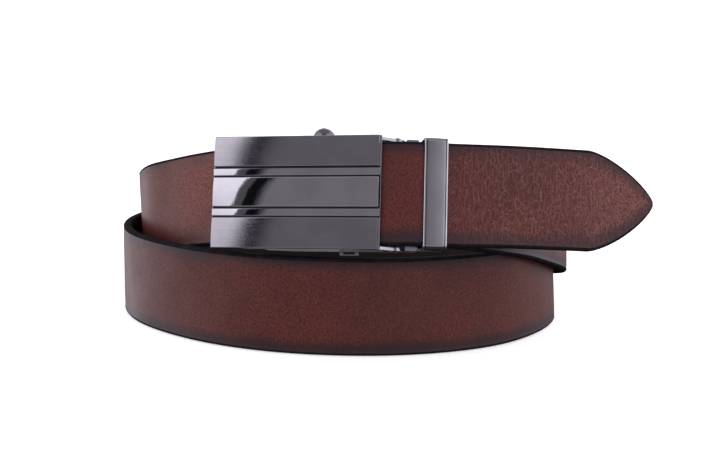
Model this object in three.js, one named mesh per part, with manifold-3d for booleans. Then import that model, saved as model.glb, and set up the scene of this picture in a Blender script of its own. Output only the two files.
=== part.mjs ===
// A leather belt with an automatic buckle, fastened and wound into two turns that stand on their edge.
// Millimetres, +Z up, the buckle at the front (-Y). The origin is the middle of the footprint, on the floor.
import * as THREE from 'three';
import { mergeVertices } from 'three/addons/utils/BufferGeometryUtils.js';
import Module from 'manifold-3d';

const wasm = await Module();
wasm.setup();

// Strap
const strapWidth = 35;
const strapThickness = 3.4;
const strapEdgeRound = 1.1;
const tailLength = 73.3;
const tipLength = 23.6;
const tipFullness = 1.43;
const tipRounding = 0.78;
const tipFlat = 0.2;

// Coil: the mean radius, and the free space between two turns that lie against each other
const coilRadius = 80;
const layGap = 0.9;

// How far pieces that are joined into one solid run into each other
const joinOverlap = 0.1;

// Where the buckle stands on the coil, and how it is turned
const buckleAngle = -102.48;
const buckleReachShare = 1.015;
const buckleRiseShare = 1.603;
const buckleHeading = -11;
const buckleClimb = 3;
const buckleLean = 15.3;
const clampTurn = 18;
const strapTilt = 1.6;

// How the strap enters the buckle, and how it bends over the hinge
const frameBend = 12;
const bendCut = 0.25;
const entryBend = 4.5;
const entryBendDepth = 0.7;

// Buckle face
const faceLength = 58.4;
const faceOverhang = 0.25;
const plateThickness = 1.3;
const barRelief = 1.2;
const outerBarHeight = 10.6;
const stripHeight = 2.5;
const stripRelief = 0.5;
const grooveWidth = 0.5;
const middleBarCrown = 0.35;
const barChamfer = 0.5;

// Buckle frame
const fitGap = 0.3;
const sideGap = 0.5;
const wallThickness = 1;
const frameDepth = 8.4;
const frameFrontInset = 0.5;
const frameEntryInset = 18;
const entryBarLength = 7;
const entryBarThickness = 1.5;
const hingeOverhang = 3.9;
const lugRadius = 2.6;
const tabLength = 6.6;
const tabReach = 1.5;
const tabThickness = 1.2;
const tabPlaceShare = 0.3;
const tabSlotLength = 4;
const tabSlotHeight = 1;

// Release lever
const leverPlaceShare = 0.14;
const leverDepth = 5.4;
const leverShaftRadius = 1.3;
const pawlRadius = 1.9;
const pawlReach = 5;
const pawlMargin = 2;
const armThickness = 0.8;
const knobDiameter = 7.6;
const knobHeight = 3.7;
const knobRise = 3.4;

// Clamp, pins and keeper
const pinRadius = 0.8;
const pinHeadRadius = 1.2;
const pinHeadHeight = 0.25;
const knuckleRadius = 1.75;
const stopPinInset = 3.2;
const clampSheet = 0.9;
const clampLength = 6.9;
const clampWall = 0.9;
const strapEndInset = 3.4;
const strapEndGap = 0.8;
const tailLift = 0.4;
const keeperInset = 1.1;
const keeperSlack = 0.6;
const keeperWidth = 8.1;
const keeperSheet = 0.8;
const keeperCorner = 1.6;
const keeperTilt = 1.6;

// The strap's route round the coil, seen from above and counted anticlockwise from +X.
// reach is a share of the coil's radius, layer counts turns that lie outside another one,
// rise is a share of the strap's width above the floor, and lean tips the upper edge inwards.
const coilRows = [
  { angle: -52, reach: 1.021, layer: 1, rise: 1.003, lean: 13 },
  { angle: -38, reach: 1.011, layer: 1, rise: 0.875, lean: 11 },
  { angle: -15, reach: 1.053, layer: 1, rise: 0.613, lean: 6 },
  { angle: 10, reach: 1.101, layer: 1, rise: 0.343, lean: 0 },
  { angle: 35, reach: 1.103, layer: 1, rise: 0.161, lean: -4 },
  { angle: 60, reach: 1.059, layer: 1, rise: 0.050, lean: -4 },
  { angle: 90, reach: 1.040, layer: 1, rise: 0.000, lean: -2 },
  { angle: 120, reach: 1.058, layer: 1, rise: 0.000, lean: 0 },
  { angle: 150, reach: 1.104, layer: 1, rise: 0.000, lean: 1 },
  { angle: 180, reach: 1.106, layer: 1, rise: 0.000, lean: 0 },
  { angle: 205, reach: 1.096, layer: 1, rise: 0.000, lean: -1 },
  { angle: 230, reach: 1.041, layer: 1, rise: 0.000, lean: -4 },
  { angle: 255, reach: 1.047, layer: 0, rise: 0.000, lean: -5 },
  { angle: 285, reach: 1.021, layer: 0, rise: 0.000, lean: -3 },
  { angle: 315, reach: 1.038, layer: 0, rise: 0.000, lean: 3 },
  { angle: 345, reach: 1.065, layer: 0, rise: 0.000, lean: 5.5 },
  { angle: 370, reach: 1.038, layer: 0, rise: 0.000, lean: -1 },
  { angle: 400, reach: 0.988, layer: 0, rise: 0.000, lean: -1 },
  { angle: 430, reach: 0.975, layer: 0, rise: 0.024, lean: -2 },
  { angle: 460, reach: 0.988, layer: 0, rise: 0.084, lean: -3 },
  { angle: 490, reach: 1.019, layer: 0, rise: 0.184, lean: -4 },
  { angle: 515, reach: 1.070, layer: 0, rise: 0.309, lean: -2 },
  { angle: 535, reach: 1.103, layer: 0, rise: 0.471, lean: -5 },
  { angle: 555, reach: 1.050, layer: 0, rise: 0.674, lean: 1 },
  { angle: 570, reach: 0.972, layer: 0, rise: 0.814, lean: 7 },
  { angle: 585, reach: 0.940, layer: 0, rise: 0.927, lean: 9.5 },
  { angle: 600, reach: 0.975, layer: 0, rise: 1.024, lean: 12 },
];

// The free tail past the keeper: run, inward bend and drop are shares of its length.
const tailRows = [
  { run: 0, bend: 0, drop: 0.004 },
  { run: 0.33, bend: 0.005, drop: 0.007 },
  { run: 0.66, bend: 0.02, drop: 0.015 },
  { run: 1, bend: 0.05, drop: 0.024 },
];

// Worked out from the sizes above
const layPitch = strapThickness + layGap;
const halfWidth = strapWidth / 2;
const halfThickness = strapThickness / 2;
const halfFace = faceLength / 2;
const plateBack = halfThickness + fitGap;
const wallInside = halfWidth + sideGap;
const wallOutside = wallInside + wallThickness;
const halfHeight = wallOutside + faceOverhang;
const bodyDepth = strapThickness + clampSheet + 2 * fitGap;
const hingePlace = halfFace + hingeOverhang;
const stopPinPlace = hingePlace - stopPinInset;
const keeperStart = clampLength + keeperInset;
const keeperEnd = keeperStart + keeperWidth;
const keeperMiddle = keeperStart + keeperWidth / 2;
const leverPlace = faceLength * leverPlaceShare;
const frameEntry = frameEntryInset - halfFace;
const tailSide = bodyDepth + tailLift;

// A turned frame: x along the strap, y across it and upwards, z outwards.
function strapFrame(origin, heading, climb, lean) {
  const turn = THREE.MathUtils.degToRad(heading);
  const slope = THREE.MathUtils.degToRad(climb);
  const tip = THREE.MathUtils.degToRad(lean);
  const along = new THREE.Vector3(
    Math.cos(slope) * Math.cos(turn), Math.cos(slope) * Math.sin(turn), Math.sin(slope));
  const outwards = new THREE.Vector3(Math.sin(turn), -Math.cos(turn), 0);
  const across = new THREE.Vector3(0, 0, Math.cos(tip)).addScaledVector(outwards, -Math.sin(tip));
  across.addScaledVector(along, -across.dot(along)).normalize();
  const out = new THREE.Vector3().crossVectors(along, across);
  return new THREE.Matrix4().makeBasis(along, across, out).setPosition(origin);
}

function polar(angle, radius, height) {
  const turn = THREE.MathUtils.degToRad(angle);
  return new THREE.Vector3(radius * Math.cos(turn), radius * Math.sin(turn), height);
}

function placed(frame, x, y, z) {
  return new THREE.Vector3(x, y, z).applyMatrix4(frame);
}

const buckleFrame = strapFrame(
  polar(buckleAngle, coilRadius * buckleReachShare, strapWidth * buckleRiseShare),
  buckleHeading, buckleClimb, buckleLean);

// The clamp's frame stands on the hinge and is turned about it. The strap's end and its tail
// leave the clamp along the x axis of the tail's frame, tilted a little upwards.
const clampFrame = buckleFrame.clone()
  .multiply(new THREE.Matrix4().makeTranslation(hingePlace, 0, -bodyDepth))
  .multiply(new THREE.Matrix4().makeRotationY(THREE.MathUtils.degToRad(clampTurn)));
const tailFrame = clampFrame.clone()
  .multiply(new THREE.Matrix4().makeRotationZ(THREE.MathUtils.degToRad(strapTilt)));

// The keeper hangs a little askew on the strap.
const keeperFrame = tailFrame.clone()
  .multiply(new THREE.Matrix4().makeTranslation(keeperMiddle, 0, 0))
  .multiply(new THREE.Matrix4().makeRotationZ(-THREE.MathUtils.degToRad(keeperTilt)));

// Each stop on the strap's route gives its middle and its upper edge.
function stopIn(frame, x, y, z) {
  return { middle: placed(frame, x, y, z), edge: placed(frame, x, y + halfWidth, z) };
}

function coilStop(row) {
  const tip = THREE.MathUtils.degToRad(row.lean);
  const floorHeight = halfWidth * Math.cos(tip) + halfThickness * Math.abs(Math.sin(tip));
  const middle = polar(row.angle, coilRadius * row.reach + layPitch * row.layer,
    floorHeight + strapWidth * row.rise);
  return stopIn(strapFrame(middle, row.angle + 90, 0, row.lean), 0, 0, 0);
}

function strapStops() {
  const bendFrame = clampFrame.clone()
    .multiply(new THREE.Matrix4().makeRotationY(-THREE.MathUtils.degToRad(clampTurn / 2)));
  return [
    stopIn(tailFrame, strapEndInset, 0, 0),
    stopIn(tailFrame, keeperStart, 0, 0),
    stopIn(tailFrame, keeperEnd, 0, 0),
    ...coilRows.map(coilStop),
    stopIn(buckleFrame, frameEntry - entryBend, 0, -entryBendDepth),
    stopIn(buckleFrame, frameEntry, 0, 0),
    stopIn(buckleFrame, leverPlace, 0, 0),
    stopIn(buckleFrame, hingePlace - frameBend, 0, 0),
    stopIn(bendFrame, 0, 0, bodyDepth - bendCut),
    stopIn(tailFrame, clampLength, 0, tailSide),
    ...tailRows.map((row) => stopIn(tailFrame, keeperEnd + tailLength * row.run,
      -tailLength * row.drop, tailSide - tailLength * row.bend)),
  ];
}

// Half the strap's width at a distance from the tip.
function halfWidthAt(distance) {
  const inTip = Math.max(0, 1 - distance / tipLength);
  const nose = strapEdgeRound + tipFlat;
  return nose + (halfWidth - nose) * (1 - inTip ** tipFullness) ** tipRounding;
}

// A rounded rectangle, as points across and outwards, anticlockwise.
function strapSection(half) {
  const points = [];
  const corners = [[1, 1], [-1, 1], [-1, -1], [1, -1]];
  const arcSteps = 2;
  corners.forEach(([side, face], quarter) => {
    for (let step = 0; step <= arcSteps; step += 1) {
      const turn = (quarter + step / arcSteps) * Math.PI / 2;
      points.push([
        side * (half - strapEdgeRound) + strapEdgeRound * Math.cos(turn),
        face * (halfThickness - strapEdgeRound) + strapEdgeRound * Math.sin(turn)]);
    }
  });
  return points;
}

function sweptStrap() {
  const stops = strapStops();
  const route = new THREE.CatmullRomCurve3(stops.map((stop) => stop.middle));
  const rail = new THREE.CatmullRomCurve3(stops.map((stop) => stop.edge));
  route.arcLengthDivisions = 2000;
  const length = route.getLength();
  const coilSteps = 152;
  const tipSteps = 9;
  const distances = [];
  for (let step = 0; step < coilSteps; step += 1) distances.push((length - tipLength) * step / coilSteps);
  for (let step = 0; step <= tipSteps; step += 1) {
    distances.push(length - tipLength * (1 - step / tipSteps) ** 1.5);
  }
  const vertices = [];
  const faces = [];
  let ring = 0;
  distances.forEach((distance) => {
    const at = route.getUtoTmapping(distance / length);
    const middle = route.getPoint(at);
    const along = route.getTangent(at);
    const across = rail.getPoint(at).sub(middle);
    across.addScaledVector(along, -across.dot(along)).normalize();
    const out = new THREE.Vector3().crossVectors(along, across);
    const section = strapSection(halfWidthAt(length - distance));
    ring = section.length;
    section.forEach(([side, face]) => {
      const point = middle.clone().addScaledVector(across, side).addScaledVector(out, face);
      vertices.push(point.x, point.y, point.z);
    });
  });
  for (let row = 0; row + 1 < distances.length; row += 1) {
    for (let column = 0; column < ring; column += 1) {
      const here = row * ring + column;
      const next = row * ring + (column + 1) % ring;
      faces.push(here, next, here + ring, next, next + ring, here + ring);
    }
  }
  const last = (distances.length - 1) * ring;
  for (let column = 1; column + 1 < ring; column += 1) {
    faces.push(0, column + 1, column);
    faces.push(last, last + column, last + column + 1);
  }
  const geometry = new THREE.BufferGeometry();
  geometry.setAttribute('position', new THREE.Float32BufferAttribute(vertices, 3));
  geometry.setIndex(faces);
  geometry.computeVertexNormals();
  return geometry;
}

// Plain solids in a frame's own axes
function block([x0, x1], [y0, y1], [z0, z1]) {
  const box = new THREE.BoxGeometry(x1 - x0, y1 - y0, z1 - z0);
  return box.translate((x0 + x1) / 2, (y0 + y1) / 2, (z0 + z1) / 2);
}

// A block whose front edges are chamfered.
function chamferedBlock([x0, x1], [y0, y1], [z0, z1], chamfer) {
  const inner = new THREE.Shape([
    new THREE.Vector2(x0 + chamfer, y0 + chamfer), new THREE.Vector2(x1 - chamfer, y0 + chamfer),
    new THREE.Vector2(x1 - chamfer, y1 - chamfer), new THREE.Vector2(x0 + chamfer, y1 - chamfer)]);
  const solid = new THREE.ExtrudeGeometry(inner, {
    depth: z1 - z0 - 2 * chamfer, bevelSize: chamfer, bevelThickness: chamfer, bevelSegments: 1 });
  return solid.translate(0, 0, z0 + chamfer);
}

// An outline in y and z, drawn out along x.
function drawnAlong(shape, x0, x1) {
  const solid = new THREE.ExtrudeGeometry(shape, { depth: x1 - x0, bevelEnabled: false, curveSegments: 6 });
  const turn = new THREE.Matrix4().makeBasis(
    new THREE.Vector3(0, 1, 0), new THREE.Vector3(0, 0, 1), new THREE.Vector3(1, 0, 0));
  return solid.applyMatrix4(turn).translate(x0, 0, 0);
}

// An outline in z and x, drawn out along y.
function drawnAcross(shape, y0, y1) {
  const solid = new THREE.ExtrudeGeometry(shape, { depth: y1 - y0, bevelEnabled: false, curveSegments: 8 });
  const turn = new THREE.Matrix4().makeBasis(
    new THREE.Vector3(0, 0, 1), new THREE.Vector3(1, 0, 0), new THREE.Vector3(0, 1, 0));
  return solid.applyMatrix4(turn).translate(0, y0, 0);
}

// A round bar across the strap, along y.
function roundBar(radius, x, z, y0, y1, sides = 16) {
  return new THREE.CylinderGeometry(radius, radius, y1 - y0, sides).translate(x, (y0 + y1) / 2, z);
}

function solidOf(geometry) {
  const bare = geometry.clone();
  bare.deleteAttribute('normal');
  bare.deleteAttribute('uv');
  const merged = mergeVertices(bare, 1e-4);
  return new wasm.Manifold(new wasm.Mesh({
    numProp: 3,
    vertProperties: new Float32Array(merged.attributes.position.array),
    triVerts: new Uint32Array(merged.index.array),
  }));
}

function geometryOf(solid) {
  const mesh = solid.getMesh();
  const geometry = new THREE.BufferGeometry();
  geometry.setAttribute('position', new THREE.BufferAttribute(mesh.vertProperties, 3));
  geometry.setIndex(new THREE.BufferAttribute(mesh.triVerts, 1));
  geometry.computeVertexNormals();
  return geometry;
}

function joined(pieces) {
  return pieces.map(solidOf).reduce((whole, piece) => whole.add(piece));
}

function cut(solid, pieces) {
  return pieces.map(solidOf).reduce((rest, piece) => rest.subtract(piece), solid);
}

// Buckle face: a plate with a broad bar at each side, a crowned middle bar and two low strips.
function facePlate() {
  const plateFront = plateBack + plateThickness;
  const barFront = plateFront + barRelief;
  const barStart = plateBack + joinOverlap;
  const stripOuter = halfHeight - outerBarHeight - grooveWidth;
  const stripInner = stripOuter - stripHeight;
  const middleHalf = stripInner - grooveWidth;
  const pieces = [block([-halfFace, halfFace], [-halfHeight, halfHeight], [plateBack, plateFront])];
  [1, -1].forEach((side) => {
    const bar = [side * halfHeight, side * (halfHeight - outerBarHeight)].sort((a, b) => a - b);
    const strip = [side * stripOuter, side * stripInner].sort((a, b) => a - b);
    pieces.push(chamferedBlock([-halfFace, halfFace], bar, [barStart, barFront], barChamfer));
    pieces.push(block([-halfFace, halfFace], strip, [barStart, plateFront + stripRelief]));
  });
  const crown = new THREE.Shape();
  crown.moveTo(-middleHalf, barStart);
  crown.lineTo(middleHalf, barStart);
  crown.lineTo(middleHalf, barFront - middleBarCrown);
  crown.quadraticCurveTo(0, barFront + middleBarCrown, -middleHalf, barFront - middleBarCrown);
  crown.closePath();
  pieces.push(drawnAlong(crown, -halfFace, halfFace));
  return geometryOf(joined(pieces));
}

// Side wall of the frame, as an outline in z and x.
function wallOutline() {
  const outline = new THREE.Shape();
  const front = plateBack - fitGap;
  outline.moveTo(front, frameEntry);
  outline.lineTo(front, halfFace - frameFrontInset);
  outline.lineTo(-bodyDepth + lugRadius, hingePlace);
  outline.absarc(-bodyDepth, hingePlace, lugRadius, 0, Math.PI, false);
  outline.lineTo(-frameDepth, hingePlace - 2 * lugRadius);
  outline.lineTo(-frameDepth, leverPlace - 2 * pawlReach);
  outline.lineTo(-plateBack - 2 * entryBarThickness, frameEntry);
  outline.closePath();
  return outline;
}

function buckleFrameSolid() {
  const walls = [1, -1].map((side) => {
    const span = [side * wallInside, side * wallOutside].sort((a, b) => a - b);
    return drawnAcross(wallOutline(), span[0], span[1]);
  });
  const bar = block([frameEntry, frameEntry + entryBarLength], [-wallInside - joinOverlap, wallInside + joinOverlap],
    [-plateBack - entryBarThickness, -plateBack]);
  const tabStart = faceLength * tabPlaceShare - tabLength / 2;
  const tabMiddle = -wallOutside - tabReach / 2;
  const tabBack = -bodyDepth - tabThickness / 2;
  const tab = block([tabStart, tabStart + tabLength], [-wallOutside - tabReach, -wallOutside + joinOverlap],
    [tabBack, tabBack + tabThickness]);
  const slot = block([tabStart + (tabLength - tabSlotLength) / 2, tabStart + (tabLength + tabSlotLength) / 2],
    [tabMiddle - tabSlotHeight / 2, tabMiddle + tabSlotHeight / 2],
    [tabBack - tabThickness, tabBack + 2 * tabThickness]);
  const through = wallOutside + wallThickness;
  return geometryOf(cut(joined([...walls, bar, tab]), [
    slot,
    roundBar(leverShaftRadius + fitGap, leverPlace, -leverDepth, -through, through),
    roundBar(pinRadius + fitGap, hingePlace, -bodyDepth, -through, through),
    roundBar(pinRadius + fitGap, stopPinPlace, -bodyDepth, -through, through),
  ]));
}

// Lever: a shaft through both side walls, the pawl between them, and outside them an arm with the knob.
function releaseLever() {
  const pawlHalf = wallInside - pawlMargin;
  const pawl = new THREE.Shape();
  const tipDepth = leverDepth - plateBack;
  const toTip = Math.atan2(-pawlReach, tipDepth);
  const spread = Math.acos(pawlRadius / Math.hypot(pawlReach, tipDepth));
  pawl.absarc(-leverDepth, leverPlace, pawlRadius, toTip + spread, toTip - spread + 2 * Math.PI, false);
  pawl.lineTo(-leverDepth + tipDepth, leverPlace - pawlReach);
  pawl.closePath();
  const armStart = wallOutside + fitGap;
  const armEnd = armStart + armThickness;
  const armSpan = [leverPlace - leverShaftRadius, leverPlace + leverShaftRadius];
  const knobMiddle = -leverDepth + knobRise;
  const dome = [new THREE.Vector2(0, 0), new THREE.Vector2(knobDiameter / 2, 0)];
  const domeSteps = 5;
  for (let step = 1; step <= domeSteps; step += 1) {
    const turn = step / domeSteps * Math.PI / 2;
    const radius = step === domeSteps ? 0 : knobDiameter / 2 * Math.cos(turn);
    dome.push(new THREE.Vector2(radius, knobHeight * Math.sin(turn)));
  }
  const knob = new THREE.LatheGeometry(dome, 24).translate(leverPlace, armStart, knobMiddle);
  return geometryOf(joined([
    roundBar(leverShaftRadius, leverPlace, -leverDepth, -wallOutside, armEnd),
    drawnAcross(pawl, -pawlHalf, pawlHalf),
    block(armSpan, [armStart, armEnd], [-leverDepth, knobMiddle]),
    knob,
  ]));
}

// A pin through both side walls, with a flat head outside each of them.
function crossPin(x, z) {
  const headStart = wallOutside + fitGap;
  const headEnd = headStart + pinHeadHeight;
  return geometryOf(joined([
    roundBar(pinRadius, x, z, -headStart - joinOverlap, headStart + joinOverlap),
    roundBar(pinHeadRadius, x, z, headStart, headEnd),
    roundBar(pinHeadRadius, x, z, -headEnd, -headStart),
  ]));
}

// Clamp: a channel over the strap's end, hung on the hinge pin by its knuckle.
function strapClamp() {
  const leafBack = halfThickness + fitGap;
  const leafFront = leafBack + clampSheet;
  const leafHalf = wallInside + clampWall;
  const clampStart = strapEndInset - strapEndGap;
  const sides = [1, -1].map((side) => {
    const span = [side * wallInside, side * leafHalf].sort((a, b) => a - b);
    return block([lugRadius + fitGap, clampLength], span, [-leafFront, leafFront]);
  });
  const knuckleHalf = halfWidth - sideGap;
  const web = block([0, clampStart], [-knuckleHalf, knuckleHalf], [0, knuckleRadius]);
  const riser = block([knuckleRadius, clampStart], [-knuckleHalf, knuckleHalf], [0, leafFront]);
  const neck = block([knuckleRadius, clampLength], [-knuckleHalf, knuckleHalf], [leafBack, leafFront]);
  const leaf = block([lugRadius + fitGap, clampLength], [-wallInside - joinOverlap, wallInside + joinOverlap],
    [leafBack, leafFront]);
  const knuckle = roundBar(knuckleRadius, 0, 0, -knuckleHalf, knuckleHalf, 20);
  const bore = roundBar(pinRadius + fitGap, 0, 0, -halfWidth, halfWidth);
  return geometryOf(cut(joined([...sides, web, riser, neck, leaf, knuckle]), [bore]));
}

function clampFlap() {
  const flapFront = -halfThickness - fitGap;
  return block([strapEndInset, clampLength], [-halfWidth, halfWidth], [flapFront - clampSheet, flapFront]);
}

function roundedOutline(path, y0, y1, z0, z1, radius) {
  path.moveTo(y0 + radius, z0);
  path.lineTo(y1 - radius, z0);
  path.absarc(y1 - radius, z0 + radius, radius, -Math.PI / 2, 0, false);
  path.lineTo(y1, z1 - radius);
  path.absarc(y1 - radius, z1 - radius, radius, 0, Math.PI / 2, false);
  path.lineTo(y0 + radius, z1);
  path.absarc(y0 + radius, z1 - radius, radius, Math.PI / 2, Math.PI, false);
  path.lineTo(y0, z0 + radius);
  path.absarc(y0 + radius, z0 + radius, radius, Math.PI, Math.PI * 1.5, false);
  return path;
}

// Keeper: a flat metal loop round the strap and the tail.
function keeperLoop() {
  const back = -halfThickness - keeperSlack;
  const front = tailSide + halfThickness + fitGap;
  const outside = roundedOutline(new THREE.Shape(), -wallInside - keeperSheet, wallInside + keeperSheet,
    back - keeperSheet, front + keeperSheet, keeperCorner);
  outside.holes.push(roundedOutline(new THREE.Path(), -wallInside, wallInside, back, front,
    keeperCorner - keeperSheet));
  return drawnAlong(outside, -keeperWidth / 2, keeperWidth / 2);
}

// Materials
const leather = new THREE.MeshStandardMaterial({ color: 0x4a2a22, roughness: 0.45, metalness: 0 });
const satinMetal = new THREE.MeshStandardMaterial({ color: 0x5c5a5e, roughness: 0.35, metalness: 1 });
const polishedMetal = new THREE.MeshStandardMaterial({ color: 0x77757a, roughness: 0.12, metalness: 1 });

function named(name, geometry, material) {
  const mesh = new THREE.Mesh(geometry, material);
  mesh.name = name;
  return mesh;
}

function groupIn(frame, meshes) {
  const group = new THREE.Group();
  frame.decompose(group.position, group.quaternion, group.scale);
  group.add(...meshes);
  return group;
}

const belt = new THREE.Group();
belt.add(named('strap', sweptStrap(), leather));
belt.add(groupIn(buckleFrame, [
  named('face_plate', facePlate(), satinMetal),
  named('buckle_frame', buckleFrameSolid(), satinMetal),
  named('release_lever', releaseLever(), polishedMetal),
  named('hinge_pin', crossPin(hingePlace, -bodyDepth), polishedMetal),
  named('stop_pin', crossPin(stopPinPlace, -bodyDepth), polishedMetal),
]));
belt.add(groupIn(clampFrame, [
  named('strap_clamp', strapClamp(), satinMetal),
  named('clamp_flap', clampFlap(), satinMetal),
]));
belt.add(groupIn(keeperFrame, [named('keeper', keeperLoop(), polishedMetal)]));

// Stand the belt on the floor, with the origin under the middle of its box.
belt.updateMatrixWorld(true);
const extent = new THREE.Box3().setFromObject(belt, true);
belt.position.set(-(extent.min.x + extent.max.x) / 2, -(extent.min.y + extent.max.y) / 2, -extent.min.z);

export default belt;
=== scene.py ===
"""A leather belt with an automatic buckle, fastened and wound into two turns that stand on their edge."""

import math

import bmesh
import bpy
import numpy as np
from mathutils import Matrix, Vector


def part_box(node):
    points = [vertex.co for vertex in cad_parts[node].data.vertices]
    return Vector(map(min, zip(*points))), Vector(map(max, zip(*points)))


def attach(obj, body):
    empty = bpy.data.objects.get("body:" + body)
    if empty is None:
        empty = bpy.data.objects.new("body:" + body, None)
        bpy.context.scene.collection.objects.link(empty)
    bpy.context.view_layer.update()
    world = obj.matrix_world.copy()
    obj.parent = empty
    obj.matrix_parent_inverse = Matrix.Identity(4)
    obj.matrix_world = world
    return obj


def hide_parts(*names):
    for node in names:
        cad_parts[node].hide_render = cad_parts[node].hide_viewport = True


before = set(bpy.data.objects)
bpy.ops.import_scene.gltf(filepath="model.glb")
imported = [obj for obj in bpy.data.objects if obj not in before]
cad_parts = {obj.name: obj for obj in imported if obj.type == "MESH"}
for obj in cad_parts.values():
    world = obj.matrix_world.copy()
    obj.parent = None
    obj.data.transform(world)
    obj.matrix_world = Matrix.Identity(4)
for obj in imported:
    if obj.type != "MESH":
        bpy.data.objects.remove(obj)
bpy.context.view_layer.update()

MM = 0.001

# Strap, in millimetres
STRAP_WIDTH = 35.0
STRAP_THICKNESS = 3.4
STRAP_EDGE_ROUND = 1.1
TAIL_LENGTH = 73.3
TIP_LENGTH = 23.6
TIP_FULLNESS = 1.43
TIP_ROUNDING = 0.78
TIP_FLAT = 0.2

# Coil, and where the buckle stands on it
COIL_RADIUS = 80.0
LAY_PITCH = STRAP_THICKNESS + 0.9
BUCKLE_ANGLE = -102.48
BUCKLE_REACH_SHARE = 1.015
BUCKLE_RISE_SHARE = 1.603
BUCKLE_HEADING = -11.0
BUCKLE_CLIMB = 3.0
BUCKLE_LEAN = 15.3
CLAMP_TURN = 18.0
STRAP_TILT = 1.6
FRAME_BEND = 12.0
BEND_CUT = 0.25
ENTRY_BEND = 4.5
ENTRY_BEND_DEPTH = 0.7

# Buckle face
FACE_LENGTH = 58.4
FACE_OVERHANG = 0.25
PLATE_THICKNESS = 1.3
BAR_RELIEF = 1.2
OUTER_BAR_HEIGHT = 10.6
STRIP_HEIGHT = 2.5
STRIP_RELIEF = 0.5
GROOVE_WIDTH = 0.5
OUTER_BAR_CROWN = 0.26
MIDDLE_BAR_CROWN = 0.36
BAR_INSET_LEFT = 0.15
BAR_INSET_RIGHT = 0.6
PLATE_LIP = 0.22

# Buckle frame, lever, clamp and keeper
FIT_GAP = 0.3
SIDE_GAP = 0.5
WALL_THICKNESS = 1.0
FRAME_ENTRY_INSET = 18.0
HINGE_OVERHANG = 3.9
LEVER_PLACE_SHARE = 0.14
LEVER_DEPTH = 5.4
LEVER_SHAFT_RADIUS = 1.3
PAWL_RADIUS = 1.9
PAWL_REACH = 5.0
PAWL_MARGIN = 2.0
ARM_THICKNESS = 0.8
KNOB_DIAMETER = 7.6
KNOB_HEIGHT = 3.7
KNOB_RISE = 3.4
CLAMP_SHEET = 0.9
CLAMP_LENGTH = 6.9
STRAP_END_INSET = 3.4
TAIL_LIFT = 0.4
KEEPER_INSET = 1.1
KEEPER_SLACK = 0.6
KEEPER_WIDTH = 8.1
KEEPER_SHEET = 0.8
KEEPER_CORNER = 1.6
KEEPER_TILT = 1.6
KEEPER_CROWN = 0.05

HALF_WIDTH = STRAP_WIDTH / 2
HALF_THICKNESS = STRAP_THICKNESS / 2
HALF_FACE = FACE_LENGTH / 2
PLATE_BACK = HALF_THICKNESS + FIT_GAP
WALL_INSIDE = HALF_WIDTH + SIDE_GAP
WALL_OUTSIDE = WALL_INSIDE + WALL_THICKNESS
HALF_HEIGHT = WALL_OUTSIDE + FACE_OVERHANG
BODY_DEPTH = STRAP_THICKNESS + CLAMP_SHEET + 2 * FIT_GAP
HINGE_PLACE = HALF_FACE + HINGE_OVERHANG
KEEPER_START = CLAMP_LENGTH + KEEPER_INSET
KEEPER_END = KEEPER_START + KEEPER_WIDTH
KEEPER_MIDDLE = KEEPER_START + KEEPER_WIDTH / 2
LEVER_PLACE = FACE_LENGTH * LEVER_PLACE_SHARE
FRAME_ENTRY = FRAME_ENTRY_INSET - HALF_FACE
TAIL_SIDE = BODY_DEPTH + TAIL_LIFT

# The strap's route round the coil: angle anticlockwise from +X, radius as a share of the coil's, how many
# turns lie inside it there, height as a share of the strap's width, and lean of the upper edge inwards.
COIL_ROWS = (
    (-52, 1.021, 1, 1.003, 13), (-38, 1.011, 1, 0.875, 11), (-15, 1.053, 1, 0.613, 6),
    (10, 1.101, 1, 0.343, 0), (35, 1.103, 1, 0.161, -4), (60, 1.059, 1, 0.050, -4),
    (90, 1.040, 1, 0.000, -2), (120, 1.058, 1, 0.000, 0), (150, 1.104, 1, 0.000, 1),
    (180, 1.106, 1, 0.000, 0), (205, 1.096, 1, 0.000, -1), (230, 1.041, 1, 0.000, -4),
    (255, 1.047, 0, 0.000, -5), (285, 1.021, 0, 0.000, -3), (315, 1.038, 0, 0.000, 3),
    (345, 1.065, 0, 0.000, 5.5), (370, 1.038, 0, 0.000, -1), (400, 0.988, 0, 0.000, -1),
    (430, 0.975, 0, 0.024, -2), (460, 0.988, 0, 0.084, -3), (490, 1.019, 0, 0.184, -4),
    (515, 1.070, 0, 0.309, -2), (535, 1.103, 0, 0.471, -5), (555, 1.050, 0, 0.674, 1),
    (570, 0.972, 0, 0.814, 7), (585, 0.940, 0, 0.927, 9.5), (600, 0.975, 0, 1.024, 12),
)

# The free tail past the keeper: run, inward bend and drop as shares of its length
TAIL_ROWS = ((0, 0, 0.004), (0.33, 0.005, 0.007), (0.66, 0.02, 0.015), (1, 0.05, 0.024))


# Turned frames, as 4 by 4 matrices: x along the strap, y across it and upwards, z outwards
def strap_frame(origin, heading, climb, lean):
    turn, slope, tip = (math.radians(a) for a in (heading, climb, lean))
    along = Vector((math.cos(slope) * math.cos(turn), math.cos(slope) * math.sin(turn), math.sin(slope)))
    outwards = Vector((math.sin(turn), -math.cos(turn), 0))
    across = Vector((0, 0, math.cos(tip))) - outwards * math.sin(tip)
    across = (across - along * across.dot(along)).normalized()
    out = along.cross(across)
    turned = Matrix((along, across, out)).transposed().to_4x4()
    return Matrix.Translation(origin) @ turned


def polar(angle, radius, height):
    turn = math.radians(angle)
    return Vector((radius * math.cos(turn), radius * math.sin(turn), height))


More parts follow.
